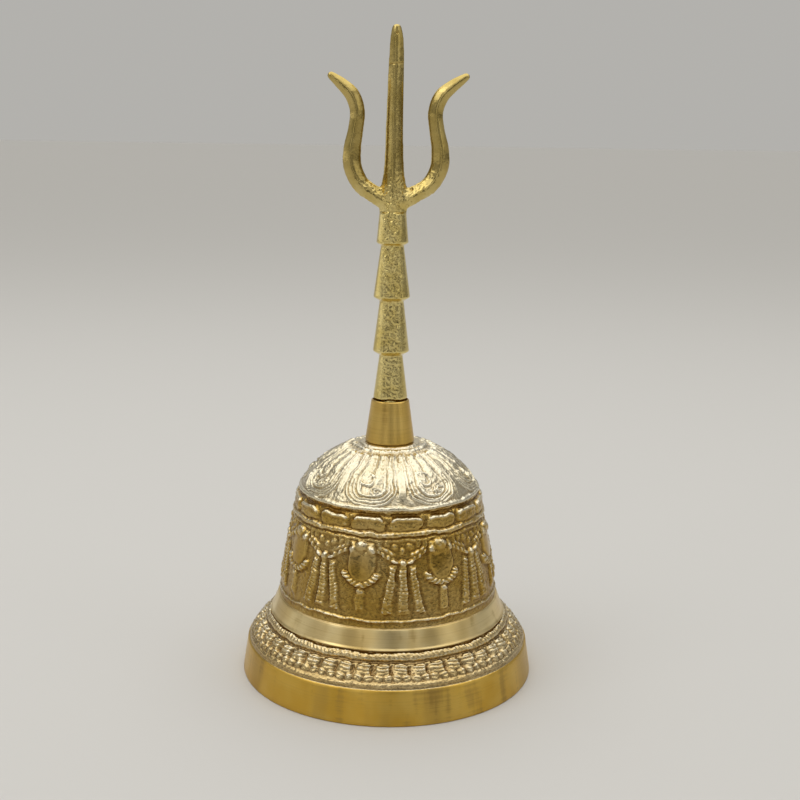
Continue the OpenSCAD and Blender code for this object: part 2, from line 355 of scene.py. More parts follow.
def handle_casting():
    """Yellow brass, grainy where it was left as cast and satin where it was filed."""
    finish = Finish("handle_casting")
    wear_and_sheen, rough_cast = finish.attribute("wear_and_sheen"), finish.attribute("rough_cast")
    grains = finish.noise(1250, 1.5, 0.55)
    clouds = finish.noise(150, 3.0, 0.55)
    cloud = clouds.ease(0.35, 0.65)
    tone = (wear_and_sheen + (grains - 0.5) * (0.12 + rough_cast * 0.5)).ease(0.1, 0.85)
    on_tines = finish.height().ease(FORK_Z - 3.15, FORK_Z + 12.85)
    low = finish.mix(clouds, (0.33, 0.22, 0.06), (0.43, 0.30, 0.09))
    stem_gold = finish.mix(cloud, (0.82, 0.66, 0.225), (0.93, 0.79, 0.35))
    tine_gold = finish.mix(cloud, (0.48, 0.37, 0.115), (0.59, 0.47, 0.175))
    finish.set(
        base=finish.mix(tone, low, finish.mix(on_tines, stem_gold, tine_gold)),
        roughness=0.22 - rough_cast * 0.03 - tone * 0.04 + (grains - 0.5) * 0.14,
        bump=grains * (0.08 + rough_cast * 0.8) + clouds * 0.4,
        depth=0.38,
        strength=0.8)
    return finish.material


def drawn_steel(name, bright, dull):
    """Steel wire or plate with faint stains and drawing marks."""
    finish = Finish(name)
    stain = finish.noise(220, 4.0, 0.6)
    grain = finish.noise(2600, 2.0, 0.6)
    finish.set(
        base=finish.mix(stain.ease(0.38, 0.7), bright, dull),
        roughness=0.30 + stain * 0.18 + (grain - 0.5) * 0.1,
        bump=grain,
        depth=0.02,
        strength=0.6)
    return finish.material


def cast_inside():
    """The untouched casting inside the bell."""
    finish = Finish("cast_inside")
    sand = finish.noise(1500, 4.0, 0.6)
    stain = finish.noise(60, 4.0, 0.6)
    finish.set(
        base=finish.mix(stain.ease(0.3, 0.7), (0.42, 0.29, 0.12), (0.66, 0.52, 0.26)),
        roughness=0.5 + (sand - 0.5) * 0.2,
        bump=sand,
        depth=0.25,
        strength=0.7)
    return finish.material


# ---------------- mesh building

def ease(low, high, x):
    """0 at low and 1 at high, with a smooth step between."""
    t = np.clip((x - low) / (high - low), 0, 1)
    return t * t * (3 - 2 * t)


def stretch(x, start, full, fade, end):
    """0 outside start and end, 1 from full to fade, with smooth steps between."""
    return ease(start, full, x) * ease(end, fade, x)


def lattice_noise(points, cell, seed):
    """Smooth random heights from -1 to 1, with lumps about a cell across."""
    steps = (points - points.min(axis=0)) / cell
    corner = np.floor(steps).astype(int)
    share = steps - corner
    share = share * share * (3 - 2 * share)
    lattice = np.random.default_rng(seed).uniform(-1, 1, size=corner.max(axis=0) + 2)
    total = np.zeros(len(points))
    for ahead in itertools.product((0, 1), repeat=3):
        weight = np.prod(np.where(ahead, share, 1 - share), axis=1)
        total += weight * lattice[tuple((corner + ahead).T)]
    return total


def layered_noise(points, layers, first_seed=0):
    """Noise added up from layers of share, size of a lump, and seed."""
    return sum(share * lattice_noise(points, cell, first_seed + seed) for share, cell, seed in layers)


def cord(distance, half_width):
    """The height of a round cord, as a share of its half width, at a distance from its middle."""
    return np.sqrt(np.clip(1 - (distance / half_width) ** 2, 0, None))


def slab(distance, half_width, edge):
    """1 over a raised slab, falling to 0 past its rounded edge."""
    return ease(half_width, half_width - edge, np.abs(distance))


def highest(*heights):
    """The tallest of several reliefs at each point."""
    return functools.reduce(np.maximum, heights)


def wrap(angle, pitch):
    """An angle's signed distance from the nearest multiple of a pitch."""
    return (angle + pitch / 2) % pitch - pitch / 2


def even_points(corners, step):
    """Points about a step apart along an outline, keeping its corners."""
    corners = np.array(corners, float)
    out = [corners[0]]
    for a, b in zip(corners[:-1], corners[1:]):
        count = max(1, round(float(np.linalg.norm(b - a)) / step))
        out += [a + (b - a) * i / count for i in range(1, count + 1)]
    return np.array(out)


def run_length(path):
    """How far along a path each of its points lies."""
    return np.insert(np.cumsum(np.linalg.norm(np.diff(path, axis=0), axis=1)), 0, 0)


def directions(path):
    """The unit direction of a path at each of its points."""
    way = np.gradient(path, axis=0)
    return way / np.linalg.norm(way, axis=1, keepdims=True)


def around(radius, height, spin):
    """Points round the bell's axis; a spin of 0 is at the front."""
    return np.stack([radius * np.sin(spin), -radius * np.cos(spin), height + 0 * spin], axis=-1)


def add_object(name, mesh):
    """A smooth-shaded object with a mesh."""
    mesh.polygons.foreach_set("use_smooth", np.ones(len(mesh.polygons), bool))
    piece = bpy.data.objects.new(name, mesh)
    bpy.context.scene.collection.objects.link(piece)
    return piece


def mesh_from(name, points, quads, check=True):
    """A mesh from points in millimetres and an array of quads."""
    mesh = bpy.data.meshes.new(name)
    mesh.vertices.add(len(points))
    mesh.vertices.foreach_set("co", (points * MM).astype(np.float32).ravel())
    mesh.loops.add(quads.size)
    mesh.loops.foreach_set("vertex_index", quads.astype(np.int32).ravel())
    mesh.polygons.add(len(quads))
    mesh.polygons.foreach_set("loop_start", np.arange(0, quads.size, 4, dtype=np.int32))
    mesh.update(calc_edges=True)
    if check:
        mesh.validate()
    return mesh


def store(mesh, name, values):
    """Keeps a number for each point, for the finish to read."""
    mesh.attributes.new(name, "FLOAT", "POINT").data.foreach_set("value", values.astype(np.float32).ravel())


def ring_quads(rows, columns, close_rows=False):
    """Quads over a grid of rings, which close round and may close end to end."""
    row = np.arange(rows if close_rows else rows - 1)[:, None]
    column = np.arange(columns)[None, :]
    next_row, next_column = (row + 1) % rows, (column + 1) % columns
    quads = np.stack([
        row * columns + column, row * columns + next_column,
        next_row * columns + next_column, next_row * columns + column], axis=-1)
    return quads.reshape(-1, 4)


def unroll(mesh, columns, along):
    """A UV map that unrolls the rings: round the axis, and along the outline."""
    layer = mesh.uv_layers.new(name="OFBake")
    row, column = np.mgrid[:len(along) - 1, :columns]
    along = along / along[-1]
    u = np.stack([column, column + 1, column + 1, column], axis=-1) / columns
    v = np.stack([along[row], along[row], along[row + 1], along[row + 1]], axis=-1)
    layer.data.foreach_set("uv", np.stack([u, v], axis=-1).astype(np.float32).ravel())


# ---------------- the shell's outline

MOUTH_R, _, FERRULE_Z = box_mm("bell_shell")[1]

LIP_BAND_Z = 11.2
LIP_TOP_R = MOUTH_R - 1.7
LIP_T = 2.9
WAIST_R = MOUTH_R - 10
WAIST_Z = LIP_BAND_Z + 9.9
WALL_Z = WAIST_Z + 6
WALL_FOOT_R = WAIST_R - 2.6
WALL_H = 36.1
WALL_BOW = 0.35
WALL_T = 1.9
SHOULDER_R = MOUTH_R - 19.5
SHOULDER_Z = WALL_Z + WALL_H
DOME_H = 15
CROWN_R = 10
CROWN_Z = SHOULDER_Z + DOME_H
INNER_CROWN_Z = CROWN_Z - 3
STUD_R = 2.5
STUD_FIT = 0.05
BORE_R = STUD_R + STUD_FIT
CHAMFER = 0.4


def wall_curve(share):
    """The body wall's radius and height at a share of its height."""
    radius = WALL_FOOT_R + share * (SHOULDER_R - WALL_FOOT_R) + 4 * WALL_BOW * share * (1 - share)
    return np.stack([radius, WALL_Z + share * WALL_H], axis=-1)


def dome_curve(t):
    """The dome's radius and height along its curve, from the shoulder to the crown."""
    spread, t = SHOULDER_R - CROWN_R, t[:, None]
    start, end = np.array([SHOULDER_R, SHOULDER_Z]), np.array([CROWN_R, CROWN_Z])
    low = start + np.array([-0.067 * spread, 0.287 * DOME_H])
    high = start + np.array([-0.462 * spread, 0.787 * DOME_H])
    return ((1 - t) ** 3 * start + 3 * t * (1 - t) ** 2 * low
            + 3 * t * t * (1 - t) * high + t ** 3 * end)


def inward(outline, depth):
    """An outline moved in along its normals."""
    way = directions(outline)
    return outline + depth * np.stack([-way[:, 1], way[:, 0]], axis=1)


# ---------------- the relief

# A relief takes the angle, the run along its band, the radius and the height of each point,
# and gives how far each stands out and how smooth it is, from 0 to 1.

SECTORS = 8
SECTOR = 360 / SECTORS
SHIELD_AT = -14.5
PETAL_AT = SHIELD_AT + 1.5
ROSETTES = 46

# Heights on the wall
LINK_Z = SHOULDER_Z - 3.8
HEM_Z = SHOULDER_Z - 6.9
SHIELD_Z = SHOULDER_Z - 16.2
MM_PER_DEGREE = math.radians(33.5)
LINK_MM_PER_DEGREE = math.radians(31)


def blur(height, reach):
    """A box blur over the grid of rings."""
    for axis in (0, 1):
        pads = [(reach, reach) if a == axis else (0, 0) for a in (0, 1)]
        padded = np.pad(height, pads, mode="wrap" if axis else "edge")
        sums = np.insert(np.cumsum(padded, axis=axis), 0, 0, axis=axis)
        width = 2 * reach + 1
        ahead = np.take(sums, range(width, sums.shape[axis]), axis=axis)
        behind = np.take(sums, range(0, sums.shape[axis] - width), axis=axis)
        height = (ahead - behind) / width
    return height


def links_band(angle, height):
    """Sixteen long rounded links over a raised cord."""
    pitch = SECTOR / 2
    across = np.abs(wrap(angle + 0.6 - pitch / 2, pitch)) * LINK_MM_PER_DEGREE
    up = height - LINK_Z
    body = np.hypot(np.clip(across - 3.7, 0, None), 0.95 * up)
    droop = 0.09 * np.clip(across - 2.5, 0, None) ** 2
    brow = cord(np.hypot(np.clip(across - 4.3, 0, None), up - 1.4 + droop), 0.8)
    hem = cord(height - HEM_Z - 0.12 * np.sin(np.radians(angle * 8)), 0.95)
    pits = 0.1 * np.sin(np.radians(angle * 40)) * np.sin(2.6 * height)
    return highest((0.85 + pits) * cord(body, 2.0), 1.15 * brow, 0.95 * hem)


def shields(x, height):
    """Smooth shields with a three-lobed cap, a rope round the foot and a pendant."""
    up = height - SHIELD_Z
    far = np.abs(x)
    half = 4.5 * np.sqrt(np.clip(1 - (np.clip(-0.5 - up, 0, None) / 5.0) ** 2, 0.0001, None))
    plate = 0.95 * ease(0.25, -0.7, far - half) * stretch(up, -6.2, -4.8, 5.8, 7.0)
    plate = plate * (1 - 0.35 * (x / 4.5) ** 2)
    cap = highest(
        1.75 * cord(np.hypot(0.7 * (x + 0.3), 0.95 * (up - 5.3)), 1.9),
        1.55 * cord(np.hypot(far - 3.1, up - 4.3), 1.6),
        1.15 * cord(np.hypot((far - 1.6) * 0.6, up - 3.2), 0.9))
    from_centre = np.hypot(x, up)
    swing = np.degrees(np.arctan2(x, -up))
    strands = 0.5 + 0.5 * np.sin(np.radians(np.abs(swing) * 26) - from_centre * 3.0)
    rope = 1.35 * cord(from_centre - 6.3, 1.25) * slab(swing, 70, 14) * (0.62 + 0.38 * strands)
    drop = highest(
        1.15 * cord(np.hypot(x, up + 8.4), 1.25),
        0.75 * cord(x, 1.55) * stretch(up, -15.4, -13.8, -9.4, -8.2))
    side_cut = 1.1 * cord(far - 5.0, 0.55) * stretch(up, -3.5, -2, 5.8, 7.0)
    drop_cut = 0.5 * cord(far - 2.0, 0.4) * stretch(up, -15, -13.5, -9.4, -8.2)
    return highest(plate, cap, rope, drop) - side_cut - drop_cut, plate * ease(0.3, 0, cap + rope)


def fans(x, height):
    """Three beaded strings that hang apart from a knot, each with a tassel."""
    up = height - SHIELD_Z
    far = np.abs(x)
    down = np.clip((-0.5 - up) / 14.5, -0.2, 1.1)
    total = 0 * x * height
    rungs = 0.5 + 0.5 * np.sin(2 * math.pi * (height - 0.05 * x * x) / 1.12)
    for side in (-1, 0, 1):
        middle = side * (3.1 + 2.1 * down)
        across = np.abs(x - middle) / (1.3 + 0.75 * down)
        string = ease(1.1, 0.55, across) * stretch(up, -15.8, -14.6, -1.2, 0.2)
        tassel = cord(np.hypot((x - middle) / 1.5, (up + 12.0) / 1.4), 1.0)
        total = highest(total, string * (0.5 + 0.42 * rungs * ease(1, 0.6, across)), 1.05 * tassel)
    for top, bottom, depth, start in ((1.5, 2.6, 1.0, -0.5), (4.6, 7.2, 0.9, -2)):
        line = far - (top + (bottom - top) * down)
        total = total - depth * cord(line, 0.5) * stretch(up, -16, -14.5, start - 2, start)
    knot = 1.2 * cord(np.hypot(x, up - 0.4), 1.3)
    leaf = 1.15 * cord(np.hypot((far - 2.6) * 0.5, up - 0.9 - 0.35 * (far - 2.6)), 0.75)
    return highest(total, knot, leaf)


def swags(x, height):
    """Garlands from the knots up to the shields, with small flowers above them."""
    up = height - SHIELD_Z
    far = np.abs(x)
    lift = 1.5 + 2.6 * np.clip((far - 2.5) / 5.5, 0, 1.2) ** 1.3
    reach = slab(far - 5.6, 3.4, 1.2)
    beads = 0.72 + 0.28 * np.sin(2 * math.pi * x / 1.7)
    strand = 0.9 * cord(up - lift, 0.95) * reach * beads
    upper = 0.7 * cord(up - lift - 1.6, 0.65) * reach * (1.6 - beads)
    flowers = 0
    for flower_x, flower_up in ((0.0, 4.2), (2.6, 5.6), (5.2, 6.3), (7.6, 6.4)):
        away = np.hypot(far - flower_x, up - flower_up)
        petals = 0.75 + 0.25 * np.cos(5 * np.arctan2(up - flower_up, far - flower_x))
        flowers = highest(flowers, 0.7 * cord(away, 1.1) * petals)
    return highest(strand, upper, flowers)


def wall_relief(angle, along, radius, height):
    """Height of the relief over the body wall, and where it is smooth."""
    shield_x = wrap(angle - SHIELD_AT, SECTOR) * MM_PER_DEGREE
    fan_x = wrap(angle - SHIELD_AT - SECTOR / 2, SECTOR) * MM_PER_DEGREE
    figure, smooth = shields(shield_x, height)
    strings = fans(fan_x, height)
    raised = highest(
        links_band(angle, height), figure, swags(fan_x, height),
        0.45 * cord(height - HEM_Z + 1.8, 0.35),
        0.55 * cord(height - WALL_Z - 2.4, 0.4))
    relief = raised + np.where(raised < 0.05, strings, np.maximum(strings - raised, 0))
    relief = relief - 0.5 * cord(height - SHOULDER_Z + 0.9, 0.6)
    fade = stretch(height, WALL_Z, WALL_Z + 0.7, SHOULDER_Z - 0.8, SHOULDER_Z)
    return blur(relief * fade, 1), 0.95 * smooth


def petal_motif(x, along):
    """A coiled rosette, a hook and a stem inside a petal."""
    rose = np.hypot(x - 2.3, along - 5.9)
    swirl = np.sin(2.2 * rose * math.pi / 1.3 + np.arctan2(along - 5.9, x - 2.3))
    rosette = (0.5 + 0.3 * swirl) * ease(2.4, 2.0, rose)
    bend = np.abs(np.hypot(x + 1.5, along - 10.4) - 2.3)
    hook = 0.7 * cord(bend, 0.55) * ease(1.2, 0.2, x)
    stem = 0.5 * cord(x + 3.4 + 0.036 * (along - 6) ** 2, 0.5) * stretch(along, 4, 5, 8.4, 9.6)
    return highest(rosette, hook, stem)


def dome_relief(angle, along, radius, height):
    """Height of the lotus petals and flutes over the dome, and where it is smooth."""
    offset = wrap(angle - PETAL_AT, SECTOR)
    turn = np.abs(offset)
    reach = np.radians(1) * radius
    half_petal = 18.5
    side, close = turn / half_petal, np.clip((9.0 - along) / 7.4, 0, None)
    petal = (side ** 2.3 + close ** 2.3) ** (1 / 2.3)
    edge = (petal - 1.0) * np.radians(half_petal) * radius
    lines = highest(
        0.45 * cord(edge, 0.42), 0.4 * cord(edge + 1.15, 0.38), 0.36 * cord(edge + 2.2, 0.36),
        0.42 * cord(edge + 3.5, 0.55))
    valley = 0.3 * cord(edge + 0.6, 0.28) + 0.35 * cord(edge + 2.8, 0.36) * ease(8, 4, along)
    motif = petal_motif(offset * reach, along) * ease(-3.4, -4.2, edge)
    rib_pitch = SECTOR / 4
    rib = np.abs(wrap(angle - PETAL_AT - rib_pitch / 2, rib_pitch)) / (rib_pitch / 2)
    flute = 0.6 * cord(rib, 0.92) * stretch(along, 7.5, 12.5, 20.4, 21.6)
    tips = 0.8 * cord(np.hypot(rib / 0.92, (along - 20.2) / 1.6), 1.0)
    between = ease(1.5, 0.9, (SECTOR / 2 - turn) * reach) * stretch(along, 3, 6, 16, 20.5)
    rim = 0.7 * stretch(along, 0, 0.3, 0.9, 1.6)
    collar = 0.45 * cord(along - 23.8, 0.8)
    raised = highest(lines * ease(22.5, 20.5, along), motif, flute, tips, 0.5 * between, collar + 0 * turn)
    body = 0.2 * ease(0.3, -0.3, edge) * ease(1, 2, along)
    end = ease(along.max(), along.max() - 0.8, along)
    petals = (raised + body - valley) * ease(0.6, 1.4, along)
    return highest(rim + 0 * turn, petals) * end, 0.6 * between


def flange_relief(angle, along, radius, height):
    """Height of the rosettes and the rope ring over the flange; none of it is smooth."""
    pitch = 360 / ROSETTES
    reach = radius * np.radians(1)
    x = wrap(angle + 1.5, pitch) * reach
    small_x = wrap(angle + 1.5 + pitch / 4, pitch / 2) * reach
    block = ((np.abs(x) / 2.5) ** 3 + (np.abs(along - 6.5) / 1.95) ** 3) ** (1 / 3)
    grooves = 0.5 + 0.5 * np.sin(2 * math.pi * (along - 0.09 * x * x) / 1.15)
    head = 1.2 * cord(block, 1) * (0.66 + 0.34 * grooves)
    foot = 0.85 * cord(np.hypot(small_x / 1.5, (along - 3.9) / 1.5), 1.0) * (0.75 + 0.25 * grooves)
    bite = 0.6 * cord(np.hypot((x - 2.35) / 0.8, (along - 6.2) / 1.8), 1.0)
    strands = 1 + 0.08 * np.sin(np.radians(angle * 180) + along * 2.5)
    rope = 1.1 * cord(along - 10.6, 1.35) * strands
    edge = 0.3 * cord(along - 1.6, 0.8)
    hollow = 0.35 * cord(along - 8.9, 0.5)
    end = stretch(along, 0, 0.5, along.max() - 0.5, along.max())
    return 0.88 * (highest(head, foot, rope, edge + 0 * x) - bite - hollow) * end, 0


def plain(angle, along, radius, height):
    """No relief."""
    return 0 * angle * along, 0


# ---------------- the shell

# Finishes of the shell, by material slot
CAST, TURNED, INSIDE = range(3)
COLUMNS = 960
Band = collections.namedtuple("Band", "corners step finish relief grain", defaults=(plain, 0))

# Layers of casting unevenness: share, size of a lump, seed
SIDEWAYS_WANDER = [(0.38, 2.8, 20), (0.12, 1.1, 27)]
UPWARD_WANDER = [(0.38, 2.8, 40), (0.12, 1.1, 47)]
SANDY_GRAIN = [(0.9, 1.3, 60), (0.9, 0.7, 80), (0.8, 0.42, 100)]


def waist_ledge():
    """The turned ledge over the flange, which curls in to the polished waist."""
    return [[WAIST_R + out, WAIST_Z + up] for out, up in (
        (0.3, -0.25), (0.5, -0.1), (0.52, 0.06), (0.35, 0.2), (0.08, 0.42), (-0.1, 0.72), (-0.22, 1.15))]


def shell_bands():
    """The shell's outline in bands, from the rim up the outside and back down inside."""
    dome = dome_curve(np.linspace(0, 1, 60))
    inner_dome = [p for p in inward(dome, WALL_T) if p[1] < INNER_CROWN_Z and p[0] > CROWN_R]
    inner_wall = wall_curve(np.linspace(0, 1, 9)) - [WALL_T, 0]
    inner_foot, rim = [MOUTH_R - LIP_T, 0], [MOUTH_R - CHAMFER, 0]
    lip_top, rim_top = [LIP_TOP_R - 0.5, LIP_BAND_Z], [LIP_TOP_R - 1, LIP_BAND_Z + 1.2]
    groove = [WAIST_R - 0.5, WAIST_Z - 0.5]
    ledge = waist_ledge()
    crown = [BORE_R, FERRULE_Z]
    bore_foot = [BORE_R, INNER_CROWN_Z]
    return [
        Band([inner_foot, rim], 1.0, TURNED),
        Band([rim, [MOUTH_R - 0.1, 0.1], [MOUTH_R, CHAMFER], [LIP_TOP_R + 0.03, LIP_BAND_Z - 0.15],
              [LIP_TOP_R - 0.12, LIP_BAND_Z], lip_top], 0.9, TURNED),
        Band([lip_top, rim_top, groove], 0.2, CAST, flange_relief, 0.10),
        Band([groove, ledge[0]], 0.25, CAST, plain, 0.03),
        Band([*ledge, [WAIST_R - 1.95, WALL_Z - 0.25], [WAIST_R - 2.1, WALL_Z - 0.05],
              [WAIST_R - 2.3, WALL_Z], [WALL_FOOT_R, WALL_Z]], 0.8, TURNED),
        Band(wall_curve(np.linspace(0, 1, 60)), 0.22, CAST, wall_relief, 0.09),
        Band(dome, 0.22, CAST, dome_relief, 0.08),
        Band([dome[-1], [CROWN_R - 0.4, FERRULE_Z - 0.15], [CROWN_R - 1, FERRULE_Z], crown],
             0.3, CAST, plain, 0.06),
        Band([crown, bore_foot], 1.0, TURNED),
        Band([bore_foot, [CROWN_R, INNER_CROWN_Z], *inner_dome[::-1], *inner_wall[::-1],
              [WAIST_R - WALL_T - 0.6, WAIST_Z - 1.5], [LIP_TOP_R - LIP_T, LIP_BAND_Z], inner_foot],
             2.0, INSIDE)]


def shape_band(number, band, angle):
    """One band's rings of points, with how brightly brushing wore each plus a painted highlight on
    upward-facing top edges, where it is smooth, and its length.
    """
    spin = np.radians(angle)
    outline = even_points(band.corners, band.step)
    length = run_length(outline)
    way = directions(outline)
    radius, height = outline[:, 0:1], outline[:, 1:2]
    base = around(radius, height, spin)
    near_ends = stretch(length, 0, 0.8, length[-1] - 0.8, length[-1])[:, None]

    def unevenness(layers):
        if not band.grain:
            return np.zeros(base.shape[:2])
        return near_ends * layered_noise(base.reshape(-1, 3), layers, number).reshape(base.shape[:2])

    sideways, upwards = unevenness(SIDEWAYS_WANDER), unevenness(UPWARD_WANDER)
    along = length[:, None] + upwards
    swell, smooth = band.relief(angle + sideways / radius * math.degrees(1), along, radius, height + upwards)
    smooth = smooth + 0 * swell
    raised = swell + band.grain * unevenness(SANDY_GRAIN) * (1 - smooth)
    wear_and_sheen = np.ones_like(swell)
    if band.grain:
        # Upward-facing top edges of the relief, which are lightened below as a painted highlight of the
        # overhead light.
        ledge = np.clip(-np.gradient(raised, axis=0) / band.step, 0, 1)
        # Lighter on worn high points and convex curves and darker in hollows, with the painted top-edge
        # highlight added.
        wear_and_sheen = 0.5 + 0.1 * swell + 1.25 * (raised - blur(raised, 4)) + 0.3 * ledge
    ring = base + raised[..., None] * around(way[:, 1:2], -way[:, 0:1], spin)
    return ring, wear_and_sheen, smooth, length


def make_shell(finishes):
    """The bell's casting as one closed skin of rings, from the rim round to the rim again."""
    angle = np.arange(COLUMNS)[None, :] * 360 / COLUMNS
    rings, wear_and_sheen_rings, smooths, slots, runs = [], [], [], [], [0.0]
    for number, band in enumerate(shell_bands()):
        ring, wear_and_sheen, smooth, length = shape_band(number, band, angle)
        first = 0 if number == 0 else 1
        rings.append(ring[first:])
        wear_and_sheen_rings.append(wear_and_sheen[first:])
        smooths.append(smooth[first:])
        slots += [band.finish] * (len(length) - 1)
        runs += list(runs[-1] + length[1:])
    grid = np.concatenate(rings)[:-1]
    rows = len(grid)
    mesh = mesh_from("bell_shell_relief", grid.reshape(-1, 3), ring_quads(rows, COLUMNS, close_rows=True))
    mesh.polygons.foreach_set("material_index", np.repeat(slots, COLUMNS).astype(np.int32))
    # Worn lightness with the painted top-edge highlight, kept for the finish to read.
    store(mesh, "wear_and_sheen", np.concatenate(wear_and_sheen_rings)[:-1])
    store(mesh, "burnish", np.concatenate(smooths)[:-1])
    unroll(mesh, COLUMNS, np.array(runs))
    for finish in finishes:
        mesh.materials.append(finish)
    return add_object("bell_shell_relief", mesh)


# ---------------- turned and bent pieces

def soften(corners, reach=0.12):
    """A closed outline with each corner cut to a small round."""
    corners = np.array(corners, float)
    out = []
    for before, at, after in zip(np.roll(corners, 1, axis=0), corners, np.roll(corners, -1, axis=0)):
        ways = [(end - at) / np.linalg.norm(end - at) for end in (before, after)]
        cuts = [min(reach, 0.3 * float(np.linalg.norm(end - at))) for end in (before, after)]
        start, stop = (at + way * cut for way, cut in zip(ways, cuts))
        leads = [end + way * 1.5 * cut for end, way, cut in zip((start, stop), ways, cuts)]
        out += [leads[0], start, (start + stop + 2 * at) / 4, stop, leads[1]]
    return out


def plain_radius(radius, height, angle):
    """A radius that nothing bends."""
    return radius + 0 * angle


def finished(name, grid, close_rows, finish):
    """An object from a grid of rings, with one finish."""
    rows, columns = grid.shape[:2]
    mesh = mesh_from(name, grid.reshape(-1, 3), ring_quads(rows, columns, close_rows))
    mesh.materials.append(finish)
    return add_object(name, mesh)


def turn(name, corners, finish, step=0.5, columns=160, shape=plain_radius):
    """A piece turned about the bell's axis; shape bends its radius by height and angle."""
    outline = even_points([*corners, corners[0]], step)[:-1]
    angle = np.arange(columns)[None, :] * 360 / columns
    radius, height = outline[:, 0:1], outline[:, 1:2]
    grid = around(shape(radius, height, angle), height, np.radians(angle))
    return finished(name, grid, True, finish)


def smooth_path(stations, steps):
    """A Catmull-Rom curve through stations, with some steps to each span."""
    stations = np.array(stations, float)
    padded = np.concatenate([stations[:1], stations, stations[-1:]])
    t = np.arange(steps)[:, None] / steps
    spans = []
    for a, b, c, d in zip(padded, padded[1:], padded[2:], padded[3:]):
        bend = (2 * a - 5 * b + 4 * c - d) * t * t + (3 * b - a - 3 * c + d) * t ** 3
        spans.append(0.5 * (2 * b + (c - a) * t + bend))
    return np.concatenate([*spans, stations[-1:]])


def bent_wire(path, radii, columns=32, across_y=False):
    """Rings round a flat bent path, which lies in the XZ plane, or across it in the YZ plane."""
    way = directions(path)
    spin = np.linspace(0, 2 * math.pi, columns, endpoint=False)[None, :]
    across = radii[:, None] * np.cos(spin)
    flat = path[:, None, :] + across[..., None] * np.stack([way[:, 1], -way[:, 0]], axis=-1)[:, None, :]
    depth = radii[:, None] * np.sin(spin)
    order = (depth, flat[..., 0], flat[..., 1]) if across_y else (flat[..., 0], -depth, flat[..., 1])
    return np.stack(order, axis=-1)


def rounded_ends(path, radii, reach):
    """Radii that close to a point in a quarter round at both ends of a path."""
    length = run_length(path)
    for away in (length, length[-1] - length):
        share = np.clip(away / reach, 0, 1)
        radii = radii * np.sqrt(share * (2 - share))
    return radii


# ---------------- the trident handle

FERRULE_LOW, FERRULE_HIGH = box_mm("ferrule")
HANDLE_LOW = box_mm("trident_handle")[0]
SOCKET_DEPTH = 3
SPIGOT_R = 4.4
BORE_H = 12.5
STEM_FEET = [93.25, 107.75, 125.25, 142.55, 153.15]
STEM_FOOT_Z, FORK_Z = STEM_FEET[0], STEM_FEET[-1]
STEM_FOOT_RADII = [5.6, 5.9, 5.9, 5.1]
STEM_TOP_RADII = [3.75, 3.85, 3.7, 4.25]
STEM_BEVELS = [0.3, 1.2, 1.2, 1.2]
STEM_FLAT = 0.84

# Middle line and half width of each tine: x, z, half width
RIGHT_TINE = [
    (-2, 155, 2.6), (3, 156.8, 2.9), (7, 159, 2.9), (11.5, 161.9, 2.95), (14.3, 167, 3.05),
    (14.5, 172.5, 2.9), (13.35, 178.5, 2.55), (12.8, 184, 2.5), (14.5, 188.7, 2.5), (18, 191.9, 2.1),
    (21.2, 194.1, 1.55), (23.1, 195.4, 1.05)]
LEFT_SHARE = 0.895
MIDDLE_TINE = [
    (0, 148, 3.7), (0, 153, 4.35), (0.1, 157, 4.5), (0.15, 160.5, 4.3), (0.15, 163.4, 3.75),
    (0.15, 166, 3.35), (0.15, 172, 3.0), (0.15, 178, 2.88), (0.2, 184, 2.74), (0.3, 190, 2.65),
    (0.4, 196, 2.57), (0.5, 202, 2.38), (0.5, 205.5, 2.2), (0.45, 207.8, 1.85), (0.4, 210.1, 1.3)]
MIDDLE_LEAN, SIDE_LEAN = -0.12, 0.18
TINE_DEPTH = 0.85
TINE_CORNER = 1.6

# The size of the cells in which the stem and the tines are fused, and how often the skin is smoothed
CELL = 0.22
SMOOTHINGS, TINE_SMOOTHINGS, WHOLE_SMOOTHINGS = 30, 20, 3

# Casting faults: pits by place and reach, the height of a fine crack, and layers of lumps
CASTING_PITS = [((5.5, -1.6, 160.7), 1.1), ((0.7, -1.7, 207.4), 0.7)]
CRACK_Z = 198.3
HANDLE_LUMPS = [(1, 0.9, 71), (0.9, 0.5, 72), (0.4, 6, 73)]


def stem_rings():
    """The stem's closed outline with its bore, flattened at the front and the back."""
    bore_top, low = STEM_FOOT_Z + BORE_H, HANDLE_LOW[2]
    corners = [(0, bore_top), (BORE_R, bore_top), (BORE_R, low), (SPIGOT_R, low), (SPIGOT_R, STEM_FOOT_Z)]
    for foot_z, top_z, foot_r, top_r, bevel in zip(
            STEM_FEET, STEM_FEET[1:], STEM_FOOT_RADII, STEM_TOP_RADII, STEM_BEVELS):
        corners += [(foot_r - 1.6 * bevel, foot_z), (foot_r, foot_z + bevel), (top_r, top_z)]
    corners += [(0, FORK_Z)]
    outline = even_points(corners, 0.5)
    spin = np.radians(np.arange(96) * 360 / 96)[None, :]
    radius, height = outline[:, 0:1], outline[:, 1:2]
    flat = np.where(height > STEM_FOOT_Z - 0.01, STEM_FLAT, 1) * radius
    flat = np.where((radius <= BORE_R) & (height < bore_top + 0.01), radius, flat)
    depth = np.clip(-radius * np.cos(spin), -flat, flat)
    return np.stack([radius * np.sin(spin), depth, height + 0 * spin], axis=-1)


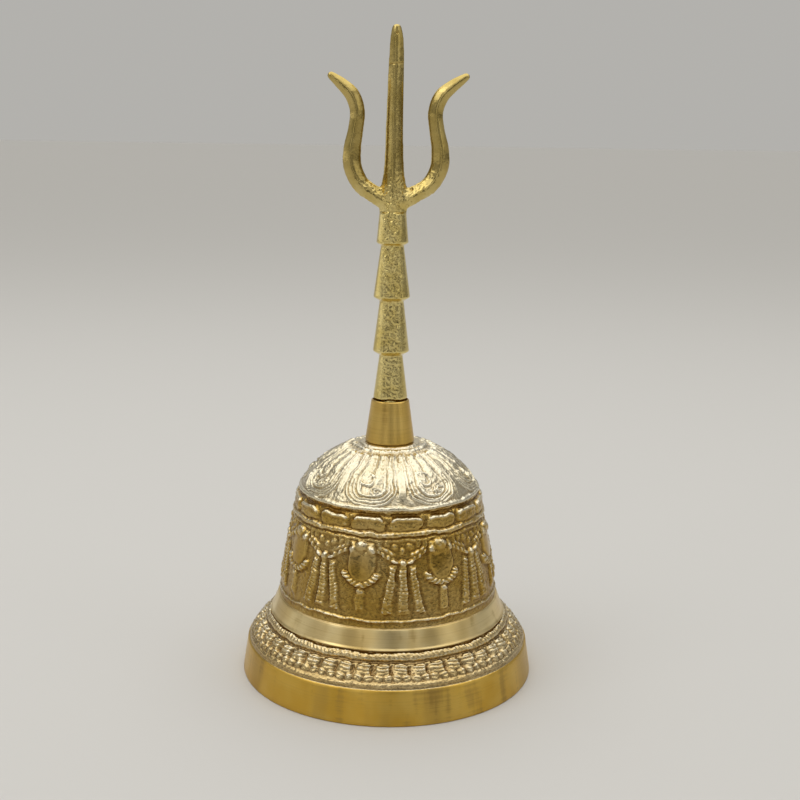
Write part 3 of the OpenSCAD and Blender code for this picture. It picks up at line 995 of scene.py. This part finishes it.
def tine_rings(stations, lean, mirror=1):
    """Rings along a tine, each a diamond with soft corners; lean moves its ridges across, in half widths."""
    path = smooth_path(stations, 8)
    line, width = path[:, :2] * [mirror, 1], path[:, 2]
    way = directions(line)
    width = rounded_ends(line, width, 0.8)[:, None]
    spin = np.linspace(0, 2 * math.pi, 112, endpoint=False)[None, :]
    side, front = (np.sign(wave(spin)) * np.abs(wave(spin)) ** TINE_CORNER for wave in (np.cos, np.sin))
    across = width * (side + lean * mirror * (1 - np.abs(side)))
    depth = width * front * TINE_DEPTH
    return np.stack([
        line[:, 0:1] + way[:, 1:2] * across, -depth, line[:, 1:2] - way[:, 0:1] * across], axis=-1)


def fuse(name, parts, cell):
    """One closed skin, in cells of a given size, over overlapping closed parts."""
    points, quads, count = [], [], 0
    for grid in parts:
        rows, columns = grid.shape[:2]
        points.append(grid.reshape(-1, 3))
        quads.append(ring_quads(rows, columns) + count)
        count += rows * columns
    mesh = mesh_from(name, np.concatenate(points), np.concatenate(quads), check=False)
    rough = add_object(name + "_rough", mesh)
    skin = rough.modifiers.new("skin", "REMESH")
    skin.mode = "VOXEL"
    skin.voxel_size = cell * MM
    whole = bpy.context.evaluated_depsgraph_get()
    fused = bpy.data.meshes.new_from_object(rough.evaluated_get(whole))
    bpy.data.objects.remove(rough)
    bpy.data.meshes.remove(mesh)
    fused.name = name
    return fused


def neighbour_mean(values, edges):
    """For each point, the mean of a value over its neighbours."""
    count = np.bincount(edges.ravel(), minlength=len(values)).astype(float)
    total = np.zeros_like(values)
    for near, far in ((0, 1), (1, 0)):
        for axis in range(values.shape[1]):
            total[:, axis] += np.bincount(edges[:, near], values[edges[:, far], axis], len(values))
    return total / count[:, None]


def move_points(mesh, points):
    """Puts a mesh's points at new places, in millimetres."""
    mesh.vertices.foreach_set("co", (points * MM).astype(np.float32).ravel())
    mesh.update()


def smooth_casting(points, edges):
    """Points pulled towards their neighbours, most of all on the tines and round the fork."""
    fork = stretch(points[:, 2], 152, 156, 163.5, 167)
    tines = ease(158, 164, points[:, 2])
    for number in range(SMOOTHINGS):
        local = np.maximum(0.6 * fork, 0.6 * tines if number < TINE_SMOOTHINGS else 0)[:, None]
        weight = 0.5 if number < WHOLE_SMOOTHINGS else local
        points = points + weight * (neighbour_mean(points, edges) - points)
    return points


def casting_flaws(points):
    """How deep the pits and the crack are at each point, as a share of a pit's depth."""
    pits = sum(ease(wide, 0.3 * wide, np.linalg.norm((points - place) * [1, 0.7, 1.2], axis=1))
               for place, wide in CASTING_PITS)
    crack = slab(points[:, 2] - CRACK_Z - 0.12 * points[:, 0], 0.3, 0.2)
    return pits + 0.35 * crack * ease(0, -0.5, points[:, 1])


def make_handle(finish):
    """The handle's casting: the stem and the three tines in one closed skin."""
    left_tine = [(x * LEFT_SHARE, z, width) for x, z, width in RIGHT_TINE]
    mesh = fuse("trident_casting", [
        stem_rings(), tine_rings(MIDDLE_TINE, MIDDLE_LEAN), tine_rings(RIGHT_TINE, SIDE_LEAN),
        tine_rings(left_tine, SIDE_LEAN, -1)], CELL)
    points = np.empty(len(mesh.vertices) * 3)
    mesh.vertices.foreach_get("co", points)
    edges = np.empty(len(mesh.edges) * 2, np.int32)
    mesh.edges.foreach_get("vertices", edges)
    edges = edges.reshape(-1, 2)
    points = smooth_casting(points.reshape(-1, 3) / MM, edges)
    move_points(mesh, points)
    normals = np.empty(points.size, np.float32)
    mesh.vertex_normals.foreach_get("vector", normals)
    normals = normals.reshape(-1, 3)
    strip = ease(3.1, 2.5, np.abs(points[:, 0]))
    face = strip * ease(0.5, 0.8, np.abs(normals[:, 1])) * ease(161, 156, points[:, 2])
    face = face * (0.5 + 0.5 * ease(105, 150, points[:, 2]))
    rough = 0.012 + 0.12 * face + 0.08 * stretch(points[:, 2], 152, 156, 158, 170)
    hidden = points[:, 2] < STEM_FOOT_Z + 0.2
    flaws = casting_flaws(points)
    swell = np.where(hidden, 0, rough * layered_noise(points, HANDLE_LUMPS) - 0.45 * flaws)
    points += swell[:, None] * normals
    move_points(mesh, points)
    curve = -((neighbour_mean(points, edges) - points) * normals).sum(axis=1, keepdims=True)
    for _ in range(2):
        curve = neighbour_mean(curve, edges)
    # On the handle this attribute holds worn lightness alone, with no painted highlight: lighter on convex
    # curves, darker in hollows, the pits and the crack.
    store(mesh, "wear_and_sheen", 0.55 + 4.5 * curve[:, 0] - 0.6 * flaws)
    store(mesh, "rough_cast", face)
    mesh.materials.clear()
    mesh.materials.append(finish)
    return add_object("trident_casting", mesh)


# ---------------- the ferrule, the fixings and the clapper

def make_ferrule(finish):
    """The conical collar, with a socket in its top for the handle's foot."""
    low, high = FERRULE_LOW[2], FERRULE_HIGH[2]
    foot_r, top_r, chamfer = FERRULE_HIGH[0], 6.2, 0.35
    socket_r = top_r - 0.55
    corners = [
        (BORE_R, low), (foot_r - 0.45, low), (foot_r, low + 0.45), (top_r, high - chamfer),
        (top_r - chamfer, high), (socket_r, high), (socket_r, high - SOCKET_DEPTH),
        (BORE_R, high - SOCKET_DEPTH)]
    return turn("ferrule_turned", soften(corners, 0.08), finish, 0.6)


EYE_Z, EYE_R, EYE_WIRE = 63.8, 3.6, 1.2
RING_Z, RING_R, RING_WIRE = 58.3, 4.0, 0.8
LOOP_Z, LOOP_R, ROD_R = 53.2, 3.0, 1.0
THREAD_PITCH, THREAD_DEPTH = 0.8, 0.17
BALL_Z, BALL_R, BALL_FOOT_Z = 15.5, 7.5, 8.0


def eye_path(centre_z, radius, wire, top_z):
    """A line down the axis that bends into a closed eye: from its top, round, and back to its neck."""
    turns = np.radians(np.linspace(62, 62 - 304, 64))
    circle = np.stack([radius * np.cos(turns), centre_z + radius * np.sin(turns)], axis=-1)
    top, neck = (0, top_z), (0, centre_z + radius + 1.6 * wire)
    steps = 12
    lead = smooth_path([top, neck, (0.1, centre_z + radius + 0.9 * wire), tuple(circle[0])], steps)
    return np.concatenate([even_points([top, neck], 0.1)[:-1], lead[steps:-1], circle])


def make_eye_bolt(finish):
    """A threaded stud, bent to an eye at its foot."""
    top_z = box_mm("eye_bolt")[1][2]
    path = eye_path(EYE_Z, EYE_R, EYE_WIRE, top_z)
    height, length = path[:, 1], run_length(path)
    neck = top_z - (EYE_Z + EYE_R + 1.6 * EYE_WIRE)
    radii = EYE_WIRE + (STUD_R - EYE_WIRE) * ease(neck + 1.2, neck, length)
    radii = rounded_ends(path, radii, 0.4)
    columns = 48
    grid = bent_wire(path, radii, columns)
    turns = np.arange(columns)[None, :] / columns
    ridge = np.abs((height[:, None] / THREAD_PITCH + turns) % 1 - 0.5) * 2
    threaded = stretch(length, 0, 0.6, neck - 1.6, neck - 0.6)[:, None]
    middle = np.stack([path[:, 0], 0 * height, height], axis=-1)[:, None, :]
    grid = middle + (grid - middle) * (1 - THREAD_DEPTH * ease(0.25, 0.8, ridge) * threaded)[..., None]
    return finished("eye_bolt_bent", grid, False, finish)


def make_washer(finish):
    """A stamped washer with soft edges."""
    low, high = box_mm("crown_washer")
    corners = [(BORE_R, low[2]), (high[0], low[2]), (high[0], high[2]), (BORE_R, high[2])]
    return turn("crown_washer_stamped", soften(corners, 0.15), finish, 0.5, 96)


def make_nut(finish):
    """A six-sided nut, chamfered on its corners and in its bore."""
    low, high = box_mm("lock_nut")
    flats = min(high[0] - low[0], high[1] - low[1]) / 2
    corner_r, chamfer = 2 * flats / math.sqrt(3), 0.3

    def six_sided(radius, height, angle):
        hexagon = flats / np.cos(np.radians(wrap(angle, 60)))
        cone = flats + chamfer + 1.9 * np.minimum(height - low[2], high[2] - height)
        outside = radius / corner_r * np.minimum(hexagon, cone)
        return np.where(radius > BORE_R + 0.7, outside, radius + 0 * angle)

    corners = [
        (BORE_R + chamfer, low[2]), (corner_r, low[2]), (corner_r, high[2]), (BORE_R + chamfer, high[2]),
        (BORE_R, high[2] - chamfer), (BORE_R, low[2] + chamfer)]
    return turn("lock_nut_six_sided", corners, finish, 0.2, 180, six_sided)


def make_ring(finish):
    """A wire ring whose two ends butt together."""
    turns = np.radians(np.linspace(200, 200 + 360, 145))
    path = np.stack([RING_R * np.cos(turns), RING_Z + RING_R * np.sin(turns)], axis=-1)
    radii = rounded_ends(path, np.full(len(path), RING_WIRE), 0.12)
    return finished("hanger_ring_closed", bent_wire(path, radii, across_y=True), False, finish)


def make_rod(finish):
    """The clapper's wire, with a peened head at its foot and a loop at its top."""
    foot_z = box_mm("clapper_rod")[0][2]
    path = eye_path(-LOOP_Z, LOOP_R, ROD_R, -foot_z) * [1, -1]
    length = run_length(path)
    radii = np.where(length < 0.85, ROD_R + 0.65 * np.sqrt(np.clip(length / 0.8, 0, 1)), ROD_R)
    return finished("clapper_rod_bent", bent_wire(path, rounded_ends(path, radii, 0.25)), False, finish)


def make_ball(finish):
    """The drilled ball, with a flat foot and a short neck."""
    bore, neck_r, neck_z = ROD_R + STUD_FIT, 2.2 * ROD_R, BALL_Z + BALL_R + 2.5
    flat = BALL_FOOT_Z + 0.25
    start = math.asin((flat - BALL_Z) / BALL_R)
    stop = math.acos((neck_r + 0.5) / BALL_R)
    rounds = np.linspace(start, stop, 60)
    sphere = [(BALL_R * math.cos(a), BALL_Z + BALL_R * math.sin(a)) for a in rounds]
    corners = [(bore, flat), *sphere, (neck_r, sphere[-1][1] + 0.6), (neck_r, neck_z - 0.3),
               (neck_r - 0.3, neck_z), (bore, neck_z)]
    return turn("clapper_ball_turned", corners, finish, 0.3, 128)


# ---------------- assembly

make_camera()
make_studio()
bright_brass = turned_brass()
steel = drawn_steel("drawn_steel", (0.60, 0.59, 0.57), (0.36, 0.31, 0.26))
plated = drawn_steel("plated_steel", (0.70, 0.69, 0.64), (0.52, 0.47, 0.38))
PIECES = [
    (make_shell([cast_relief(), bright_brass, cast_inside()]), "bell", "bell_shell", "cast_brass"),
    (make_ferrule(bright_brass), "bell", "ferrule", "turned_brass"),
    (make_handle(handle_casting()), "bell", "trident_handle", "handle_brass"),
    (make_eye_bolt(plated), "bell", "eye_bolt", "plated_steel"),
    (make_washer(plated), "bell", "crown_washer", "plated_steel"),
    (make_nut(bright_brass), "bell", "lock_nut", "turned_brass"),
    (make_ring(steel), "ring", "hanger_ring", "steel_wire"),
    (make_rod(steel), "clapper", "clapper_rod", "steel_wire"),
    (make_ball(bright_brass), "clapper", "clapper_ball", "turned_brass")]
for piece, body, node, slot_name in PIECES:
    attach(piece, body)
    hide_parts(node)
